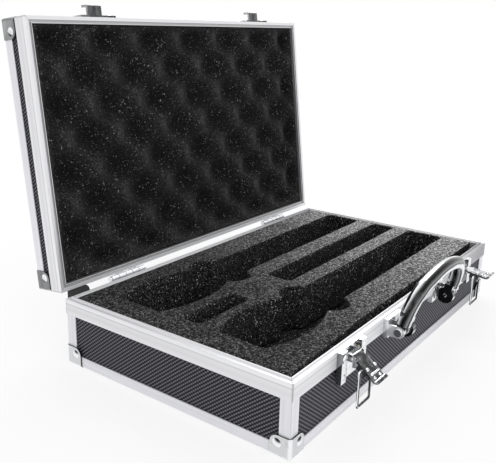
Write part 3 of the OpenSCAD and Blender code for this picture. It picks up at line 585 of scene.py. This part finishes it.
def settle(piece, node, finish, *more):
    """Dresses a piece, and lets it stand for a node on that node's body."""
    dress(piece, finish, *more)
    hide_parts(node)
    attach(piece, BODY_OF[node])


def rounded(node, finish, radius):
    """The node's own shape with its sharp edges rounded, as pressed, cast and extruded metal is."""
    crease = 32
    piece = merged_copy(node, node + "_rounded")
    finish_with(
        piece, "BEVEL", width=radius * MM, segments=2, limit_method="ANGLE",
        angle_limit=math.radians(crease), use_clamp_overlap=True, miter_outer="MITER_ARC",
    )
    smooth(piece, degrees=crease)
    finish_with(piece, "WEIGHTED_NORMAL", keep_sharp=True)
    settle(piece, node, finish)


def islands(mesh):
    """The vertices of each loose part of a mesh."""
    leader = list(range(len(mesh.vertices)))

    def lead(index):
        while leader[index] != index:
            leader[index] = leader[leader[index]]
            index = leader[index]
        return index

    for edge in mesh.edges:
        leader[lead(edge.vertices[0])] = lead(edge.vertices[1])
    groups = {}
    for vertex in mesh.vertices:
        groups.setdefault(lead(vertex.index), []).append(vertex)
    return groups.values()


def smoothed(node, finish, times=1.0):
    """The node's own shape, shaded smooth, for small turned parts, each grown about its middle."""
    piece = merged_copy(node, node + "_plated")
    for group in islands(piece.data):
        middle = sum((vertex.co for vertex in group), Vector()) / len(group)
        for vertex in group:
            vertex.co = middle + (vertex.co - middle) * times
    smooth(piece, degrees=40)
    settle(piece, node, finish)


def roughened(piece, texture_name, size, strength, level):
    """Moves a piece's surface in and out by clouds of a size: a level of 1 only moves it in."""
    texture = bpy.data.textures.new(texture_name, "CLOUDS")
    texture.noise_scale = size * MM
    texture.noise_depth = 3
    finish_with(piece, "DISPLACE", texture=texture, strength=strength * MM, mid_level=level)


def softened(piece, voxel):
    """Remeshes a piece and smooths it, so that its edges are soft, as cut foam's are."""
    finish_with(piece, "REMESH", mode="VOXEL", voxel_size=voxel * MM)
    finish_with(piece, "SMOOTH", factor=0.5, iterations=2)


# ---------------------------------------------------------------- foam


def foam_insert():
    """The insert: remeshed so that its cut edges soften, and roughened by its cells."""
    piece = merged_copy("foam_insert", "foam_insert_cut")
    softened(piece, voxel=1.5)
    roughened(piece, "insert_cells", size=2.2, strength=0.7, level=0.6)
    roughened(piece, "insert_swell", size=26, strength=0.8, level=0.6)
    settle(piece, "foam_insert", "foam_top", "foam_cut")
    flat_enough = 0.55
    for face in piece.data.polygons:
        face.material_index = 0 if face.normal.z > flat_enough else 1
    activate(piece)
    bpy.ops.object.shade_smooth()


def foam_pad():
    """The pad that closes the pockets from below."""
    low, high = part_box("foam_floor_pad")
    bpy.ops.object.select_all(action="DESELECT")
    bpy.ops.mesh.primitive_cube_add(size=1, location=(low + high) / 2, scale=high - low)
    piece = bpy.context.object
    piece.name = "foam_pad"
    bpy.ops.object.transform_apply(location=True, rotation=False, scale=True)
    softened(piece, voxel=3)
    roughened(piece, "pad_cells", size=3, strength=0.5, level=0.9)
    settle(piece, "foam_floor_pad", "foam_cut")
    bpy.ops.object.shade_smooth()


def egg_crate_lining():
    """The lining: a sheet raised into rows of peaks, drawn in the lid's own frame."""
    pitch_x = 48 * MM
    pitch_y = 46 * MM
    first_x = 45 * MM - HALF_W
    first_y = 15 * MM - HALF_D
    deep = 10 * MM
    peak = -2 * MM
    edge = -2.6 * MM
    border = 9 * MM
    thick = 9.3 * MM
    half_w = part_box("egg_crate_lining")[1].x
    inset = HALF_W - half_w
    half_d = HALF_D - inset
    bpy.ops.object.select_all(action="DESELECT")
    bpy.ops.mesh.primitive_grid_add(x_subdivisions=206, y_subdivisions=116, size=1)
    piece = bpy.context.object
    piece.name = "egg_crate_foam"
    for vertex in piece.data.vertices:
        x = vertex.co.x * 2 * half_w
        y = vertex.co.y * 2 * half_d
        across = math.cos(2 * math.pi * (x - first_x) / pitch_x)
        down = math.cos(2 * math.pi * (y - first_y) / pitch_y)
        wave = peak - deep / 2 * (1 - across * down)
        # The border is level, and the waves start from it in a smooth step
        inland = min(1, min(half_w - abs(x), half_d - abs(y)) / border)
        vertex.co = (x, y, edge + (wave - edge) * inland * inland * (3 - 2 * inland))
    activate(piece)
    bpy.ops.object.mode_set(mode="EDIT")
    bpy.ops.mesh.select_all(action="SELECT")
    bpy.ops.mesh.extrude_region_move(TRANSFORM_OT_translate={"value": (0, 0, -thick)})
    bpy.ops.transform.resize(value=(1, 1, 0), center_override=(0, 0, peak - deep - thick))
    bpy.ops.object.mode_set(mode="OBJECT")
    point_outwards(piece)
    roughened(piece, "lining_cells", size=2.4, strength=0.5, level=0.8)
    piece.data.transform(LID_SHELL)
    point_outwards(piece)
    bpy.ops.object.shade_smooth()
    settle(piece, "egg_crate_lining", "lining")


foam_insert()
foam_pad()
egg_crate_lining()

# ---------------------------------------------------------------- the frame and its fittings


def cornered(points, bend):
    """The points of a path, with its corners rounded to a bend's radius."""
    steps = 6
    path = [points[0]]
    for before, corner, after in zip(points, points[1:], points[2:]):
        back = (before - corner).normalized()
        onward = (after - corner).normalized()
        reach = bend / math.tan(back.angle(onward) / 2)
        for step in range(steps + 1):
            share = step / steps
            path.append(corner + back * reach * (1 - share) ** 2 + onward * reach * share**2)
    path.append(points[-1])
    return path


def wire(name, points, radius):
    """A round wire along points: a ring of vertices is opened, laid out and given its thickness."""
    bpy.ops.object.select_all(action="DESELECT")
    bpy.ops.mesh.primitive_circle_add(vertices=len(points), radius=1)
    piece = bpy.context.object
    piece.name = name
    for vertex, point in zip(piece.data.vertices, points):
        vertex.co = point
    last = len(points) - 1
    bpy.ops.object.mode_set(mode="EDIT")
    bpy.ops.mesh.select_all(action="DESELECT")
    bpy.ops.object.mode_set(mode="OBJECT")
    for edge in piece.data.edges:
        edge.select = set(edge.vertices) == {0, last}
    bpy.ops.object.mode_set(mode="EDIT")
    bpy.ops.mesh.select_mode(type="EDGE")
    bpy.ops.mesh.delete(type="EDGE_FACE")
    bpy.ops.mesh.select_mode(type="VERT")
    bpy.ops.object.mode_set(mode="OBJECT")
    bpy.ops.object.convert(target="CURVE")
    piece = bpy.context.object
    piece.data.bevel_depth = radius
    piece.data.bevel_resolution = 3
    piece.data.use_fill_caps = True
    bpy.ops.object.convert(target="MESH")
    piece = bpy.context.object
    smooth(piece, degrees=50)
    return piece


def bail(side):
    """
    A latch's wire loop, as it hangs from its lever. The loop's inside is where the CAD has it, and the
    wire is a little flat from front to back, so that it seats in the keeper's hook.
    """
    node = f"{side}_bail"
    pivot = Vector(JOINTS[f"{side}_bail_pivot"]["pos_m"])
    cad_wire = 1.6 * MM
    radius = 1.05 * MM
    flatness = 0.76
    inside = 6.9 * MM
    across = inside + radius
    flange = 6.35 * MM
    end_bend = 1.2 * MM
    loop_bend = 1.5 * MM
    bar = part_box(node)[0].z + cad_wire - radius - pivot.z
    corners = [(-flange, 0), (-across, 0), (-across, bar), (across, bar), (across, 0), (flange, 0)]
    points = [pivot + Vector((x, 0, z)) for x, z in corners]
    left_end = cornered(points[:3], end_bend)
    loop = cornered(points[1:5], loop_bend)
    right_end = cornered(points[3:], end_bend)
    piece = wire(f"{side}_bail_wire", left_end[:-1] + loop[1:-1] + right_end[1:], radius)
    for vertex in piece.data.vertices:
        vertex.co.y = pivot.y + (vertex.co.y - pivot.y) * flatness
    settle(piece, node, "bail_chrome", "bail_shade")
    bend_reach = 1.2 * radius
    crossbar_top = pivot.z + bar + bend_reach
    # The right arm and the crossbar take the second finish, chrome with painted shade
    for face in piece.data.polygons:
        right_arm = face.center.x > pivot.x + inside
        crossbar = face.center.z < crossbar_top
        face.material_index = 1 if right_arm or crossbar else 0


def rod(place, length, radius):
    """A short rod along X with rounded ends."""
    bpy.ops.object.select_all(action="DESELECT")
    bpy.ops.mesh.primitive_cylinder_add(
        vertices=20, radius=radius, depth=length, location=place, rotation=(0, math.radians(90), 0),
    )
    piece = bpy.context.object
    bpy.ops.object.transform_apply(location=True, rotation=True, scale=True)
    finish_with(
        piece, "BEVEL", width=radius / 2, segments=3, limit_method="ANGLE", angle_limit=math.radians(40),
    )
    return piece


def stud(place, radius):
    """A low domed stud on a lever's face."""
    lowness = 0.7
    bpy.ops.object.select_all(action="DESELECT")
    bpy.ops.mesh.primitive_uv_sphere_add(segments=20, ring_count=12, radius=radius, location=place)
    bpy.ops.transform.resize(value=(1, lowness, 1), center_override=place)
    piece = bpy.context.object
    bpy.ops.object.transform_apply(location=True, rotation=True, scale=True)
    return piece


def lever_fittings(side):
    """The rolled knuckles, cross rod and studs on a lever's face, drawn on the shut lever."""
    joint = JOINTS[f"{side}_lever_pivot"]
    lift = Matrix.Rotation(-math.radians(joint["range_deg"][1]), 4, "X")
    face = -2.2 * MM
    rod_z = -14.4 * MM
    knuckle_z = -10.6 * MM
    stud_z = -16.9 * MM
    parts = [rod((0, face - 0.2 * MM, rod_z), length=10.6 * MM, radius=0.8 * MM)]
    for sign in (-1, 1):
        knuckle = (sign * 4.7 * MM, face - 0.3 * MM, knuckle_z)
        parts.append(rod(knuckle, length=2.2 * MM, radius=1.2 * MM))
        parts.append(stud((sign * 3.3 * MM, face, stud_z), radius=1.2 * MM))
    bpy.ops.object.select_all(action="DESELECT")
    for part in parts:
        part.select_set(True)
    bpy.context.view_layer.objects.active = parts[0]
    bpy.ops.object.join()
    piece = bpy.context.object
    piece.name = f"{side}_lever_fittings"
    piece.data.transform(Matrix.Translation(Vector(joint["pos_m"])) @ lift)
    smooth(piece, degrees=40)
    dress(piece, "fitting_chrome")
    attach(piece, f"{side}_lever")


def latch_spring(side):
    """The small coils beside the lever, seated in the latch plate's slot."""
    pivot = Vector(JOINTS[f"{side}_lever_pivot"]["pos_m"])
    coils = 4
    steps_per_coil = 12
    steps = coils * steps_per_coil
    coil_radius = 0.82
    inner_end = 6.6
    length = 2.3
    behind = 2.95
    above = 1.6
    for end, sign in (("a", -1), ("b", 1)):
        points = []
        for step in range(steps + 1):
            turn = 2 * math.pi * step / steps_per_coil
            x = sign * (inner_end + length * step / steps)
            y = behind + coil_radius * math.cos(turn)
            z = above + coil_radius * math.sin(turn)
            points.append(pivot + Vector((x * MM, y * MM, z * MM)))
        piece = wire(f"{side}_lever_spring_{end}", points, radius=0.27 * MM)
        dress(piece, "spring_steel")
        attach(piece, "base")


# Each shell, with the finish of its corner caps and of their rivets
CAP_FINISHES = (("base", "nickel_caps", "base_cap_rivet"), ("lid", "dull_caps", "rivet_steel"))

for shell, caps, rivets in CAP_FINISHES:
    for side in ("front", "back"):
        rounded(f"{shell}_rim_{side}", f"{shell}_rim_x", 0.4)
        rounded(f"{shell}_edge_{side}", f"{shell}_x", 0.5)
    for side in ("left", "right"):
        rounded(f"{shell}_rim_{side}", f"{shell}_rim_y", 0.4)
        rounded(f"{shell}_edge_{side}", f"{shell}_y", 0.5)
    rounded(f"{shell}_corner_posts", f"{shell}_z", 0.5)
    rounded(f"{shell}_corner_caps", caps, 0.3)
    smoothed(f"{shell}_cap_rivets", rivets, times=1.35)

for side in ("left", "right"):
    rounded(f"{side}_latch_plate", "latch_chrome", 0.25)
    rounded(f"{side}_keeper", "keeper_chrome", 0.25)
    rounded(f"{side}_lever", "latch_chrome", 0.3)
    bail(side)
    latch_spring(side)
    lever_fittings(side)
rounded("handle_brackets", "bracket_chrome", 0.25)
rounded("hinge_base_leaves", "hinge_steel", 0.15)
rounded("hinge_lid_leaves", "hinge_steel", 0.15)
rounded("lid_stop_block", "black_rubber", 0.4)
smoothed("handle_grip", "grip_chrome")
for node in (
    "hinge_base_rivets", "hinge_lid_rivets", "hinge_pins", "latch_plate_rivets", "lever_pins",
    "handle_bracket_rivets", "handle_pins", "keeper_rivets",
):
    smoothed(node, "rivet_steel")

# The nodes that show as they are: the panels
for node, piece in frame["nodes"].items():
    if not piece.hide_render:
        piece.data.materials.clear()
        piece.data.materials.append(FINISHES[SLOT_OF[node]])

# ---------------------------------------------------------------- studio


def white_to_the_camera(tree, plain):
    """The share of a ray that sees pure white: 1 for the camera and for mirrors, else plain."""
    path = tree.nodes.new("ShaderNodeLightPath")
    total = path.outputs["Is Camera Ray"]
    for ray in ("Is Glossy Ray", "Is Transmission Ray"):
        either = tree.nodes.new("ShaderNodeMath")
        either.operation = "MAXIMUM"
        tree.links.new(total, either.inputs[0])
        tree.links.new(path.outputs[ray], either.inputs[1])
        total = either.outputs[0]
    level = tree.nodes.new("ShaderNodeMapRange")
    level.inputs["To Min"].default_value = plain
    tree.links.new(total, level.inputs["Value"])
    return level.outputs[0]


def studio_world(plain):
    """A white world, of a plain strength on the case."""
    world = bpy.data.worlds.new("studio")
    bpy.context.scene.world = world
    world.use_nodes = True
    background = world.node_tree.nodes["Background"]
    background.inputs["Color"].default_value = (1, 1, 1, 1)
    world.node_tree.links.new(white_to_the_camera(world.node_tree, plain), background.inputs["Strength"])


def studio_floor():
    """A white floor that keeps the case's shadow, and glows pure white away from it."""
    shadow_reach = 0.18
    clear_reach = 0.4
    near_glow = 0.78
    bpy.ops.object.select_all(action="DESELECT")
    bpy.ops.mesh.primitive_circle_add(vertices=96, radius=4, fill_type="NGON", location=(0, 0, -0.2 * MM))
    floor = bpy.context.object
    floor.name = "studio_floor"
    material = bpy.data.materials.new("floor_white")
    material.use_nodes = True
    tree = material.node_tree
    tree.nodes.remove(tree.nodes["Principled BSDF"])
    paper = tree.nodes.new("ShaderNodeBsdfDiffuse")
    paper.inputs["Color"].default_value = (0.98, 0.98, 0.98, 1)
    glow = tree.nodes.new("ShaderNodeEmission")
    mixed = tree.nodes.new("ShaderNodeMixShader")
    ground = tree.nodes.new("ShaderNodeTexCoord")
    reach = tree.nodes.new("ShaderNodeVectorMath")
    reach.operation = "LENGTH"
    tree.links.new(ground.outputs["Object"], reach.inputs[0])
    clear = tree.nodes.new("ShaderNodeMapRange")
    clear.inputs["From Min"].default_value = shadow_reach
    clear.inputs["From Max"].default_value = clear_reach
    clear.inputs["To Min"].default_value = near_glow
    tree.links.new(reach.outputs["Value"], clear.inputs["Value"])
    share = tree.nodes.new("ShaderNodeMath")
    share.operation = "MULTIPLY"
    tree.links.new(white_to_the_camera(tree, 0.0), share.inputs[0])
    tree.links.new(clear.outputs[0], share.inputs[1])
    tree.links.new(share.outputs[0], mixed.inputs[0])
    tree.links.new(paper.outputs[0], mixed.inputs[1])
    tree.links.new(glow.outputs[0], mixed.inputs[2])
    tree.links.new(mixed.outputs[0], tree.nodes["Material Output"].inputs["Surface"])
    floor.data.materials.append(material)


def lamp(name, place, size, power):
    """A soft square lamp that looks at the case."""
    case_middle = Vector((0, 0, 0.08))
    data = bpy.data.lights.new(name, "AREA")
    data.size = size
    data.energy = power
    lamp_object = bpy.data.objects.new(name, data)
    bpy.context.scene.collection.objects.link(lamp_object)
    lamp_object.location = place
    lamp_object.rotation_euler = (case_middle - Vector(place)).to_track_quat("-Z", "Y").to_euler()


def photograph_camera():
    """The photograph's viewpoint, lens and framing, for a picture of 496 by 463 pixels."""
    place = Vector((-439.9, -261.9, 231.96)) * MM
    forward = Vector((0.7775, 0.5692, -0.2675)).normalized()
    right = Vector((0.5955, -0.8031, 0.0219))
    right = (right - forward * right.dot(forward)).normalized()
    up = right.cross(forward)
    data = bpy.data.cameras.new("photograph_view")
    data.lens = 49.49
    data.sensor_width = 36
    data.shift_x = 0.0099
    data.shift_y = -0.0341
    data.clip_start = 0.01
    camera = bpy.data.objects.new("photograph_view", data)
    bpy.context.scene.collection.objects.link(camera)
    camera.matrix_world = Matrix.Translation(place) @ Matrix((right, up, -forward)).transposed().to_4x4()
    bpy.context.scene.camera = camera


studio_world(plain=0.68)
studio_floor()
lamp("key_softbox", (0.9, 0.5, 1.0), size=0.9, power=7)
lamp("front_softbox", (-0.9, -1.1, 0.9), size=1.0, power=6.3)
photograph_camera()
bpy.context.scene.view_settings.view_transform = "Standard"
